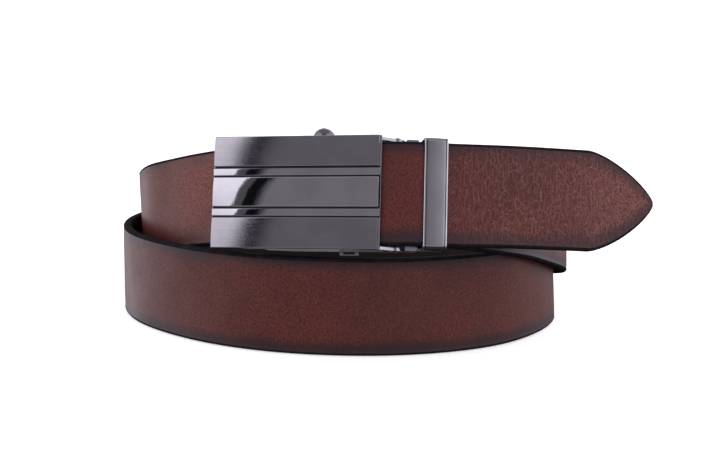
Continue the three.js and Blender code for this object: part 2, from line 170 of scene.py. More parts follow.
buckle_frame = strap_frame(
    polar(BUCKLE_ANGLE, COIL_RADIUS * BUCKLE_REACH_SHARE, STRAP_WIDTH * BUCKLE_RISE_SHARE),
    BUCKLE_HEADING, BUCKLE_CLIMB, BUCKLE_LEAN)
clamp_frame = (buckle_frame @ Matrix.Translation((HINGE_PLACE, 0, -BODY_DEPTH))
               @ Matrix.Rotation(math.radians(CLAMP_TURN), 4, "Y"))
tail_frame = clamp_frame @ Matrix.Rotation(math.radians(STRAP_TILT), 4, "Z")
keeper_frame = (tail_frame @ Matrix.Translation((KEEPER_MIDDLE, 0, 0))
                @ Matrix.Rotation(math.radians(-KEEPER_TILT), 4, "Z"))

# The flap is a plain box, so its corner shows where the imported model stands.
flap_front = -HALF_THICKNESS - FIT_GAP
flap_corners = [clamp_frame @ Vector((x, y, z)) for x in (STRAP_END_INSET, CLAMP_LENGTH)
                for y in (-HALF_WIDTH, HALF_WIDTH) for z in (flap_front - CLAMP_SHEET, flap_front)]
flap_low = Vector([min(c[i] for c in flap_corners) for i in range(3)])
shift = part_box("clamp_flap")[0] / MM - flap_low
to_world = Matrix.Scale(MM, 4) @ Matrix.Translation(shift)


# The strap's route: stops, each a point of the middle line and one of the upper edge
def stop_in(place, x, y, z):
    return place @ Vector((x, y, z)), place @ Vector((x, y + HALF_WIDTH, z))


def coil_stop(angle, reach, layer, rise, lean):
    tip = math.radians(lean)
    floor_height = HALF_WIDTH * math.cos(tip) + HALF_THICKNESS * abs(math.sin(tip))
    middle = polar(angle, COIL_RADIUS * reach + LAY_PITCH * layer, floor_height + STRAP_WIDTH * rise)
    return stop_in(strap_frame(middle, angle + 90, 0, lean), 0, 0, 0)


def tail_stop(run, bend, drop):
    x = KEEPER_END + TAIL_LENGTH * run
    return stop_in(tail_frame, x, -TAIL_LENGTH * drop, TAIL_SIDE - TAIL_LENGTH * bend)


def strap_stops():
    bend_frame = clamp_frame @ Matrix.Rotation(math.radians(-CLAMP_TURN / 2), 4, "Y")
    return [
        stop_in(tail_frame, STRAP_END_INSET, 0, 0),
        stop_in(tail_frame, KEEPER_START, 0, 0),
        stop_in(tail_frame, KEEPER_END, 0, 0),
        *(coil_stop(*row) for row in COIL_ROWS),
        stop_in(buckle_frame, FRAME_ENTRY - ENTRY_BEND, 0, -ENTRY_BEND_DEPTH),
        stop_in(buckle_frame, FRAME_ENTRY, 0, 0),
        stop_in(buckle_frame, LEVER_PLACE, 0, 0),
        stop_in(buckle_frame, HINGE_PLACE - FRAME_BEND, 0, 0),
        stop_in(bend_frame, 0, 0, BODY_DEPTH - BEND_CUT),
        stop_in(tail_frame, CLAMP_LENGTH, 0, TAIL_SIDE),
        *(tail_stop(*row) for row in TAIL_ROWS),
    ]


def curve_points(stops, per_span):
    """Centripetal Catmull-Rom curve through the stops, with per_span steps between each two of them."""
    stops = np.array(stops, float)
    padded = np.vstack([2 * stops[0] - stops[1], stops, 2 * stops[-1] - stops[-2]])
    points = []
    for i in range(len(stops) - 1):
        p0, p1, p2, p3 = padded[i:i + 4]
        d0, d1, d2 = (float(np.sum((b - a) ** 2)) ** 0.25 for a, b in ((p0, p1), (p1, p2), (p2, p3)))
        t1 = ((p1 - p0) / d0 - (p2 - p0) / (d0 + d1) + (p2 - p1) / d1) * d1
        t2 = ((p2 - p1) / d1 - (p3 - p1) / (d1 + d2) + (p3 - p2) / d2) * d1
        last = i == len(stops) - 2
        for t in np.linspace(0, 1, per_span + 1)[:None if last else -1]:
            points.append(p1 + t1 * t + (3 * (p2 - p1) - 2 * t1 - t2) * t ** 2
                          + (2 * (p1 - p2) + t1 + t2) * t ** 3)
    return np.array(points)


def unit(rows):
    return rows / np.linalg.norm(rows, axis=1, keepdims=True)


def sampled(at, run, rows):
    return np.column_stack([np.interp(at, run, rows[:, i]) for i in range(3)])


def smoothed(rows, passes):
    rows = rows.copy()
    for _ in range(passes):
        rows[1:-1] = 0.25 * rows[:-2] + 0.5 * rows[1:-1] + 0.25 * rows[2:]
    return rows


# How finely the route is worked out, and how its steps gather towards the tip
SPAN_STEPS = 40
EVEN_STEP = 0.8
SMOOTHING_PASSES = 12
TIP_GATHERING = 1.5


def strap_path(step, tip_steps):
    """Distances along the strap, its whole length, and the middle, across and out vectors there."""
    middles, edges = zip(*strap_stops())
    route, rail = curve_points(middles, SPAN_STEPS), curve_points(edges, SPAN_STEPS)
    run = np.concatenate([[0], np.cumsum(np.linalg.norm(np.diff(route, axis=0), axis=1))])
    length = run[-1]
    body = np.linspace(0, length - TIP_LENGTH, int((length - TIP_LENGTH) / step))
    tip = length - TIP_LENGTH * (1 - np.linspace(0, 1, tip_steps + 1)[1:]) ** TIP_GATHERING
    at = np.concatenate([body, tip])
    even = np.linspace(0, length, int(length / EVEN_STEP))
    fine = smoothed(sampled(even, run, route), SMOOTHING_PASSES)
    side = smoothed(sampled(even, run, rail - route), SMOOTHING_PASSES)
    heading = unit(np.gradient(fine, axis=0))
    middle, along, across = (sampled(at, even, rows) for rows in (fine, heading, side))
    along = unit(along)
    across = unit(across - along * np.sum(across * along, axis=1, keepdims=True))
    return at, length, middle, across, np.cross(along, across)


def half_width_at(distance):
    """Half the strap's width at a distance from its tip."""
    in_tip = np.clip(1 - distance / TIP_LENGTH, 0, 1)
    nose = STRAP_EDGE_ROUND + TIP_FLAT
    return nose + (HALF_WIDTH - nose) * (1 - in_tip ** TIP_FULLNESS) ** TIP_ROUNDING


# Mesh helpers: everything is made in millimetres in a turned frame, and lands in the row frame in metres
def mesh_piece(name, points, faces, uvs, place=None):
    mesh = bpy.data.meshes.new(name)
    matrix = to_world if place is None else to_world @ place
    mesh.from_pydata([matrix @ Vector(p) for p in points], [], faces)
    mesh.validate()
    layer = mesh.uv_layers.new(name="UVMap")
    flat = np.array([uvs[loop.vertex_index] for loop in mesh.loops], np.float32).ravel()
    layer.data.foreach_set("uv", flat)
    mesh.polygons.foreach_set("use_smooth", [True] * len(mesh.polygons))
    piece = bpy.data.objects.new(name, mesh)
    bpy.context.scene.collection.objects.link(piece)
    return piece


def float_attribute(mesh, name, values):
    attribute = mesh.attributes.new(name, "FLOAT", "POINT")
    attribute.data.foreach_set("value", np.asarray(values, np.float32))


def smoothstep(low, high, value):
    t = np.clip((value - low) / (high - low), 0, 1)
    return t * t * (3 - 2 * t)


# Strap mesh: steps in millimetres or counts
STRAP_STEP = 1.3
TIP_STEPS = 26
FRONT_COLUMNS = 22
BACK_COLUMNS = 10
CORNER_STEPS = 5
FRONT_CROWN = 0.14
CROWN_POWER = 6
TINY = 1e-6

# Where the leather's looks change: lengths along the strap, counted from the tail's start or from the tip,
# and depths counted from the strap's edges
PEBBLE_BEFORE = 14.0
PEBBLE_BEYOND = 22.0
PEBBLE_LEAST = 0.16
WARM_LENGTH = 16.0
# Painted highlight on the coil's upper left, where the left light falls, and painted sheen growing towards
# the tail's tip
HIGHLIGHT_BEFORE = 94.0
HIGHLIGHT_LENGTH = 20.0
HIGHLIGHT_SHARE = 0.85
TIP_SHEEN_START = 40.0
TIP_SHEEN_FULL = 4.0
TIP_SHEEN_SHARE = 0.75
HIGHLIGHT_EDGES = (9.0, 2.0)
# Burnish weakened around the painted highlight
BURNISH_DIP_BEFORE = 6.0
BURNISH_DIP_LENGTH = 30.0
BURNISH_DIP_SHARE = 0.6
BURNISH_EDGES = (8.5, 0.6)
BURNISH_LOWER = 0.6


def edge_section(side, flat_y):
    """Rounded edge on the upper (1) or lower (-1) side, without the points that the flat faces have."""
    flat_z = HALF_THICKNESS - STRAP_EDGE_ROUND
    points = []
    for k in range(1, 2 * CORNER_STEPS):
        turn = side * math.pi / 2 - math.pi * k / (2 * CORNER_STEPS)
        lift = math.sin(turn)
        centre = 0.0 if abs(lift) < TINY else math.copysign(flat_z, lift)
        y = side * flat_y + STRAP_EDGE_ROUND * math.cos(turn)
        points.append((y, centre + STRAP_EDGE_ROUND * lift, "edge"))
    return points


def strap_section(half):
    """Points across and outwards, anticlockwise from the front's lower edge, each with its side's name."""
    flat_y = half - STRAP_EDGE_ROUND
    points = []
    for y in np.linspace(-flat_y, flat_y, FRONT_COLUMNS):
        points.append((y, HALF_THICKNESS - FRONT_CROWN * abs(y / flat_y) ** CROWN_POWER, "front"))
    points += edge_section(1, flat_y)
    points += [(y, -HALF_THICKNESS, "back") for y in np.linspace(flat_y, -flat_y, BACK_COLUMNS)]
    points += edge_section(-1, flat_y)
    return points


def add_leather_attributes(mesh, length, runs, heights, shares):
    """Shares from 0 to 1 that the leather's material reads: pebbled, warm, painted highlight and sheen, and
    burnished.
    """
    tail_start = length - TAIL_LENGTH
    highlight_place = tail_start - HIGHLIGHT_BEFORE
    pebbled = smoothstep(tail_start - PEBBLE_BEFORE, tail_start + PEBBLE_BEYOND, runs)
    warm = np.exp(-((runs - tail_start + KEEPER_WIDTH / 2) / WARM_LENGTH) ** 2)
    # Painted highlight on the coil's upper left, and painted sheen growing towards the tip
    painted_highlight = HIGHLIGHT_SHARE * np.exp(-((runs - highlight_place) / HIGHLIGHT_LENGTH) ** 2)
    painted_highlight = painted_highlight + TIP_SHEEN_SHARE * smoothstep(length - TIP_SHEEN_START, length - TIP_SHEEN_FULL, runs)
    highlight_start, highlight_end = (HALF_WIDTH - depth for depth in HIGHLIGHT_EDGES)
    burnish_start, burnish_end = (HALF_WIDTH - depth for depth in BURNISH_EDGES)
    # Burnish weakened around the painted highlight on the coil's upper left
    burnish_weight = 1 - BURNISH_DIP_SHARE * np.exp(-((runs - highlight_place + BURNISH_DIP_BEFORE) / BURNISH_DIP_LENGTH) ** 4)
    lowered = shares - BURNISH_LOWER * np.sign(heights)
    float_attribute(mesh, "pebble", PEBBLE_LEAST + (1 - PEBBLE_LEAST) * pebbled)
    float_attribute(mesh, "warm", warm)
    float_attribute(mesh, "painted_highlight", painted_highlight * (1 - smoothstep(highlight_start, highlight_end, shares)))
    float_attribute(mesh, "burnish", burnish_weight * smoothstep(burnish_start, burnish_end, lowered))


def make_strap():
    at, length, middle, across, out = strap_path(STRAP_STEP, TIP_STEPS)
    points, uvs, shares, runs, heights = [], [], [], [], []
    sides = [side for _, _, side in strap_section(HALF_WIDTH)]
    ring = len(sides)
    for i, distance in enumerate(at):
        half = float(half_width_at(length - distance))
        for y, z, _ in strap_section(half):
            points.append(middle[i] + across[i] * y + out[i] * z)
            uvs.append((distance * MM, y * MM))
            shares.append(HALF_WIDTH - half + abs(y))
            heights.append(y)
            runs.append(distance)
    faces, kinds = [], []
    for i in range(len(at) - 1):
        for j in range(ring):
            k = (j + 1) % ring
            faces.append((i * ring + j, (i + 1) * ring + j, (i + 1) * ring + k, i * ring + k))
            pair = {sides[j], sides[k]}
            kinds.append("edge" if "edge" in pair else pair.pop())
    last = (len(at) - 1) * ring
    faces += [tuple(range(ring)), tuple(range(last + ring - 1, last - 1, -1))]
    kinds += ["edge", "edge"]
    piece = mesh_piece("belt_strap", points, faces, uvs)
    mesh = piece.data
    for material in (leather_front, edge_paint, leather_back):
        mesh.materials.append(material)
    order = {"front": 0, "edge": 1, "back": 2}
    mesh.polygons.foreach_set("material_index", [order[kind] for kind in kinds])
    add_leather_attributes(mesh, length, np.array(runs), np.array(heights), np.array(shares))
    mesh.update()
    return piece


# Solids as lists of points and faces, in the frame of the piece that they belong to
BAR_EDGE_STEPS = 4
END_BEVEL_SHARE = 0.3


def bar_profile(y_span, z_span, edge, crown, columns):
    """Height and depth pairs across a bar, with a rounded edge on each side of its bulging front."""
    y0, y1 = y_span
    z0, z1 = z_span
    half = (y1 - y0) / 2 - edge
    centre = (y0 + y1) / 2
    slope = math.atan(2 * crown / half)
    sweep = math.pi / 2 - slope
    shoulder = z1 - crown - edge
    first, second = [], []
    for k in range(BAR_EDGE_STEPS + 1):
        turn = math.pi - sweep * k / BAR_EDGE_STEPS
        first.append((y0 + edge + edge * math.cos(turn), shoulder + edge * math.sin(turn)))
        turn = sweep - sweep * k / BAR_EDGE_STEPS
        second.append((y1 - edge + edge * math.cos(turn), shoulder + edge * math.sin(turn)))
    base = first[-1][1]
    places = np.linspace(-half, half, columns)[1:-1]
    front = [(centre + y, base + crown * (1 - (y / half) ** 2)) for y in places]
    return [(y0, z0), *first, *front, *second, (y1, z0)]


def crowned_bar(x_span, y_span, z_span, edge, crown=0.0, columns=15):
    """Bar along x whose front bulges by crown, with its front edges and its ends rounded by edge."""
    profile = bar_profile(y_span, z_span, edge, crown, columns)
    x0, x1 = x_span
    z0 = z_span[0]
    centre, half = (y_span[0] + y_span[1]) / 2, (y_span[1] - y_span[0]) / 2
    bevel = edge * END_BEVEL_SHARE
    inset_rows = [(x0, edge), (x0 + bevel, bevel), (x0 + edge, 0.0),
                  (x1 - edge, 0.0), (x1 - bevel, bevel), (x1, edge)]
    points = []
    for x, inset in inset_rows:
        for y, z in profile:
            points.append((x, centre + (y - centre) * (1 - inset / half), z if z == z0 else z - inset))
    count = len(profile)
    faces = ring_faces(len(inset_rows), count)
    last = (len(inset_rows) - 1) * count
    faces += [tuple(range(count - 1, -1, -1)), tuple(range(last, last + count))]
    return points, faces


def ring_faces(rows, count, closed=False):
    """Four-sided faces between rows of count points each, and from the last row to the first if closed."""
    faces = []
    for row in range(rows if closed else rows - 1):
        following = (row + 1) % rows
        for j in range(count):
            k = (j + 1) % count
            faces.append((row * count + j, row * count + k, following * count + k, following * count + j))
    return faces


def weighted(piece, angle):
    """Keeps flat faces flat beside small rounded edges."""
    piece.data.set_sharp_from_angle(angle=math.radians(angle))
    modifier = piece.modifiers.new("weighted", "WEIGHTED_NORMAL")
    modifier.keep_sharp = True
    evaluated = piece.evaluated_get(bpy.context.evaluated_depsgraph_get())
    applied = bpy.data.meshes.new_from_object(evaluated)
    piece.modifiers.remove(modifier)
    piece.data = applied
    return piece


def turn_faces_out(mesh):
    bm = bmesh.new()
    bm.from_mesh(mesh)
    bmesh.ops.recalc_face_normals(bm, faces=bm.faces)
    bm.to_mesh(mesh)
    bm.free()


SHARP_ANGLE = 35
KEEPER_SHARP_ANGLE = 50


def joined_piece(name, solids, place):
    """One piece from solids in the frame place, each with its points, faces and material's number."""
    points, faces, kinds = [], [], []
    for solid_points, solid_faces, kind in solids:
        start = len(points)
        points += solid_points
        faces += [tuple(start + v for v in face) for face in solid_faces]
        kinds += [kind] * len(solid_faces)
    uvs = [(p[0] * MM, p[1] * MM) for p in points]
    piece = mesh_piece(name, points, faces, uvs, place)
    piece.data.polygons.foreach_set("material_index", kinds)
    turn_faces_out(piece.data)
    return weighted(piece, SHARP_ANGLE)


def box_solid(x_span, y_span, z_span):
    points = [(x, y, z) for x in x_span for y in y_span for z in z_span]
    faces = [(0, 1, 3, 2), (4, 6, 7, 5), (0, 4, 5, 1), (2, 3, 7, 6), (0, 2, 6, 4), (1, 5, 7, 3)]
    return points, faces


# Buckle face: roots that reach into the plate, and rounded edges
BAR_ROOT = 0.3
PLATE_EDGE = 0.15
BAR_EDGE = 0.4
STRIP_EDGE = 0.2
STRIP_CROWN = 0.02
GROOVE_FLOOR = 0.06
MIDDLE_BAR_COLUMNS = 31
# The dark material fills the grooves between the bars as painted shade
SATIN, MIRROR, DARK = 0, 1, 2


def make_face():
    front = PLATE_BACK + PLATE_THICKNESS
    bar_depth = (front - BAR_ROOT, front + BAR_RELIEF)
    strip_depth = (front - BAR_ROOT, front + STRIP_RELIEF)
    groove_depth = (front - BAR_ROOT, front + GROOVE_FLOOR)
    strip_outer = HALF_HEIGHT - OUTER_BAR_HEIGHT - GROOVE_WIDTH
    strip_inner = strip_outer - STRIP_HEIGHT
    middle_half = strip_inner - GROOVE_WIDTH
    span = (-HALF_FACE, HALF_FACE)
    bar_span = (-HALF_FACE + BAR_INSET_LEFT, HALF_FACE - BAR_INSET_RIGHT)
    groove_span = (-HALF_FACE + BAR_INSET_LEFT, HALF_FACE - PLATE_LIP)
    groove_reach = strip_outer + GROOVE_WIDTH
    plate = crowned_bar(span, (-HALF_HEIGHT, HALF_HEIGHT), (PLATE_BACK, front), PLATE_EDGE)
    # Dark filler under the bars, showing in the grooves as painted shade
    grooves = box_solid(groove_span, (-groove_reach, groove_reach), groove_depth)
    solids = [(*plate, MIRROR), (*grooves, DARK)]
    for side in (1, -1):
        bar = sorted((side * HALF_HEIGHT, side * (HALF_HEIGHT - OUTER_BAR_HEIGHT)))
        strip = sorted((side * strip_outer, side * strip_inner))
        solids.append((*crowned_bar(bar_span, bar, bar_depth, BAR_EDGE, OUTER_BAR_CROWN), SATIN))
        solids.append((*crowned_bar(span, strip, strip_depth, STRIP_EDGE, STRIP_CROWN), MIRROR))
    middle_bar = crowned_bar(bar_span, (-middle_half, middle_half), bar_depth, BAR_EDGE, MIDDLE_BAR_CROWN,
                             MIDDLE_BAR_COLUMNS)
    solids.append((*middle_bar, MIRROR))
    piece = joined_piece("buckle_face_piece", solids, buckle_frame)
    for material in (face_satin, face_mirror, groove_painted_shade):
        piece.data.materials.append(material)
    return piece


def rounded_loop(y0, y1, z0, z1, radius, steps):
    """Points round a rectangle with rounded corners, each with its place and its outward direction."""
    points = []
    corners = ((y1 - radius, z1 - radius, 0), (y0 + radius, z1 - radius, 90),
               (y0 + radius, z0 + radius, 180), (y1 - radius, z0 + radius, 270))
    for cy, cz, start in corners:
        for k in range(steps + 1):
            turn = math.radians(start + 90 * k / steps)
            points.append((cy + radius * math.cos(turn), cz + radius * math.sin(turn),
                           math.cos(turn), math.sin(turn)))
    return points


KEEPER_CORNER_STEPS = 8
KEEPER_COLUMNS = 11

# The keeper's side, bright rim and groove: distance in from its edge, height above its inner face, and the
# material of the stretch that follows (0 satin, 1 bright edge, 2 groove darkened as painted shade).
KEEPER_RIM = (
    (0.12, 0.0, 1), (0.0, 0.12, 1), (0.0, KEEPER_SHEET - 0.35, 1), (0.12, KEEPER_SHEET - 0.1, 1),
    (0.34, KEEPER_SHEET, 1), (0.66, KEEPER_SHEET, 2), (0.72, KEEPER_SHEET - 0.16, 2),
    (0.86, KEEPER_SHEET - 0.16, 0), (0.92, KEEPER_SHEET - 0.04, 0), (1.3, KEEPER_SHEET, 0),
)


def keeper_section():
    """Places along the keeper's width and heights above its inner face, and the material after each."""
    half = KEEPER_WIDTH / 2
    panel_half = half - KEEPER_RIM[-1][0]
    places = np.linspace(-panel_half, panel_half, KEEPER_COLUMNS)[1:-1]
    panel = [(x, KEEPER_SHEET + KEEPER_CROWN * (1 - (x / panel_half) ** 2)) for x in places]
    left = [(x - half, lift) for x, lift, _ in KEEPER_RIM]
    right = [(half - x, lift) for x, lift, _ in reversed(KEEPER_RIM)]
    rim_kinds = [kind for _, _, kind in KEEPER_RIM[:-1]]
    kinds = rim_kinds + [0] * (len(panel) + 1) + rim_kinds[::-1] + [1]
    return left + panel + right, kinds


def make_keeper():
    back = -HALF_THICKNESS - KEEPER_SLACK
    front = TAIL_SIDE + HALF_THICKNESS + FIT_GAP
    inner_corner = KEEPER_CORNER - KEEPER_SHEET
    path = rounded_loop(-WALL_INSIDE, WALL_INSIDE, back, front, inner_corner, KEEPER_CORNER_STEPS)
    section, section_kinds = keeper_section()
    points, uvs = [], []
    run = 0.0
    for i, (y, z, ny, nz) in enumerate(path):
        if i:
            run += math.hypot(y - path[i - 1][0], z - path[i - 1][1])
        for x, lift in section:
            points.append((x, y + ny * lift, z + nz * lift))
            uvs.append((run * MM, x * MM))
    faces = ring_faces(len(path), len(section), closed=True)
    piece = mesh_piece("keeper_band", points, faces, uvs, keeper_frame)
    piece.data.polygons.foreach_set("material_index", section_kinds * len(path))
    for material in (keeper_satin, keeper_edge, groove_painted_shade):
        piece.data.materials.append(material)
    turn_faces_out(piece.data)
    return weighted(piece, KEEPER_SHARP_ANGLE)


def lathe(profile, centre, start, sides):
    """A solid turned about y, from start on: profile holds radius and height pairs, base first."""
    points = []
    for radius, height in profile[:-1]:
        for k in range(sides):
            turn = 2 * math.pi * k / sides
            x, z = centre[0] + radius * math.cos(turn), centre[1] + radius * math.sin(turn)
            points.append((x, start + height, z))
    points.append((centre[0], start + profile[-1][1], centre[1]))
    rows = len(profile) - 1
    faces = ring_faces(rows, sides)
    last, top = (rows - 1) * sides, rows * sides
    faces += [(last + k, last + (k + 1) % sides, top) for k in range(sides)]
    faces.append(tuple(range(sides - 1, -1, -1)))
    return points, faces


# Lever: the knob's foot is inset and rounded below its dome
KNOB_FOOT_INSET = 0.25
KNOB_FOOT_BULGE = 0.05
KNOB_FOOT_ROUND = 0.1
KNOB_FOOT = 0.3
KNOB_ROWS = 14
KNOB_SIDES = 64
SHAFT_SIDES = 32
PAWL_STEPS = 20


def knob_profile():
    radius = KNOB_DIAMETER / 2
    foot = [(radius - KNOB_FOOT_INSET, 0.0), (radius - KNOB_FOOT_BULGE, KNOB_FOOT_ROUND), (radius, KNOB_FOOT)]
    dome_height = KNOB_HEIGHT - KNOB_FOOT
    turns = np.linspace(0, math.pi / 2, KNOB_ROWS)[1:-1]
    dome = [(radius * math.cos(turn), KNOB_FOOT + dome_height * math.sin(turn)) for turn in turns]
    return foot + dome + [(0.0, KNOB_HEIGHT)]


def pawl_solid():
    """A round hub with a wedge whose edge points at the tail's back."""
    half = WALL_INSIDE - PAWL_MARGIN
    tip_depth = LEVER_DEPTH - PLATE_BACK
    to_tip = math.atan2(-PAWL_REACH, tip_depth)
    spread = math.acos(PAWL_RADIUS / math.hypot(PAWL_REACH, tip_depth))
    outline = [(LEVER_PLACE - PAWL_REACH, -LEVER_DEPTH + tip_depth)]
    for turn in np.linspace(to_tip + spread, to_tip - spread + 2 * math.pi, PAWL_STEPS):
        x, z = LEVER_PLACE + PAWL_RADIUS * math.sin(turn), -LEVER_DEPTH + PAWL_RADIUS * math.cos(turn)
        outline.append((x, z))
    count = len(outline)
    points = [(x, y, z) for y in (-half, half) for x, z in outline]
    faces = ring_faces(2, count)
    faces += [tuple(range(count - 1, -1, -1)), tuple(range(count, 2 * count))]
    return points, faces


def make_lever():
    arm_start = WALL_OUTSIDE + FIT_GAP
    arm_end = arm_start + ARM_THICKNESS
    knob_middle = -LEVER_DEPTH + KNOB_RISE
    shaft_length = arm_end + WALL_OUTSIDE
    shaft = [(LEVER_SHAFT_RADIUS, 0.0), (LEVER_SHAFT_RADIUS, shaft_length), (0.0, shaft_length)]
    arm_span = (LEVER_PLACE - LEVER_SHAFT_RADIUS, LEVER_PLACE + LEVER_SHAFT_RADIUS)
    shapes = [
        lathe(shaft, (LEVER_PLACE, -LEVER_DEPTH), -WALL_OUTSIDE, SHAFT_SIDES),
        pawl_solid(),
        box_solid(arm_span, (arm_start, arm_end), (-LEVER_DEPTH, knob_middle)),
        lathe(knob_profile(), (LEVER_PLACE, knob_middle), arm_start, KNOB_SIDES),
    ]
    piece = joined_piece("release_lever_piece", [(*shape, 0) for shape in shapes], buckle_frame)
    piece.data.materials.append(polished_metal)
    return piece


# Materials
class Nodes:
    """A node tree with short ways to add to it: add gives the new node, and the others its output."""

    def __init__(self, tree):
        self.tree = tree

    def add(self, kind, inputs=None, **settings):
        node = self.tree.nodes.new(kind)
        for key, value in settings.items():
            setattr(node, key, value)
        for key, value in (inputs or {}).items():
            self.put(node.inputs[key], value)
        return node

    def put(self, socket, value):
        if isinstance(value, bpy.types.NodeSocket):
            self.tree.links.new(value, socket)
        else:
            socket.default_value = value

    def math(self, operation, a, b=0.0):
        return self.add("ShaderNodeMath", {0: a, 1: b}, operation=operation).outputs[0]

    def times(self, a, b):
        return self.math("MULTIPLY", a, b)

    def mix(self, share, a, b):
        node = self.add("ShaderNodeMix", data_type="RGBA", blend_type="MIX")
        for index, value in ((0, share), (6, a), (7, b)):
            self.put(node.inputs[index], value)
        return node.outputs[2]

    def ramp(self, value, low, high, to_low=0.0, to_high=1.0):
        node = self.add("ShaderNodeMapRange", {0: value, 1: low, 2: high, 3: to_low, 4: to_high})
        node.interpolation_type = "SMOOTHSTEP"
        return node.outputs[0]

    def attribute(self, name):
        return self.add("ShaderNodeAttribute", attribute_name=name).outputs["Fac"]

    def uv(self, scale):
        coords = self.add("ShaderNodeUVMap", uv_map="UVMap").outputs[0]
        return self.add("ShaderNodeVectorMath", {0: coords, 1: scale}, operation="MULTIPLY").outputs[0]

    def noise(self, vector, scale, detail=2.0, roughness=0.5, distortion=0.0):
        return self.add("ShaderNodeTexNoise", {
            "Vector": vector, "Scale": scale, "Detail": detail, "Roughness": roughness,
            "Distortion": distortion}).outputs["Fac"]

    def cells(self, vector, scale, **settings):
        inputs = {"Vector": vector, "Scale": scale, "Randomness": 1.0}
        node = self.add("ShaderNodeTexVoronoi", inputs, voronoi_dimensions="2D", **settings)
        return node.outputs["Distance"]

    def bump(self, height, distance, strength=1.0, normal=None):
        inputs = {"Strength": strength, "Distance": distance, "Height": height}
        if normal is not None:
            inputs["Normal"] = normal
        return self.add("ShaderNodeBump", inputs).outputs[0]


class MaterialNodes(Nodes):
    """A material's node tree, built up from its principled shader."""

    def __init__(self, name):
        self.material = bpy.data.materials.new(name)
        self.material.use_nodes = True
        super().__init__(self.material.node_tree)
        self.shader = self.tree.nodes["Principled BSDF"]

    def set(self, **inputs):
        for key, value in inputs.items():
            self.put(self.shader.inputs[key.replace("_", " ")], value)

    def object_coords(self):
        return self.add("ShaderNodeTexCoord").outputs["Object"]


# Leather: tones from red to nearly black, with the tones of its painted highlights and painted tip sheen, its
# gloss, and how deep its grain is in metres
LEATHER_WARM = (0.175, 0.033, 0.016, 1)
LEATHER_BASE = (0.128, 0.024, 0.015, 1)
LEATHER_DARK = (0.046, 0.012, 0.013, 1)
LEATHER_UNDER_KEEPER = (0.170, 0.024, 0.010, 1)
# Tones of the painted highlight and the painted tip sheen
LEATHER_PAINTED_HIGHLIGHT = (0.285, 0.068, 0.038, 1)
LEATHER_PAINTED_TIP_SHEEN = (0.360, 0.115, 0.086, 1)
# Pale tone of the painted highlights on the tail's ridges
LEATHER_RIDGE_HIGHLIGHT = (0.270, 0.110, 0.088, 1)
LEATHER_BURN = (0.024, 0.013, 0.017, 1)
LEATHER_ROUGH = (0.37, 0.49)
LEATHER_SPECULAR = 0.28
HIGHLIGHT_SPECULAR_LOSS = 0.14
PORE_DEPTH = 0.00006
PEBBLE_DEPTH = 0.00007
WRINKLE_DEPTH = 0.0003
CREASE_DEPTH = 0.0004
VEIN_BEND = 0.0022


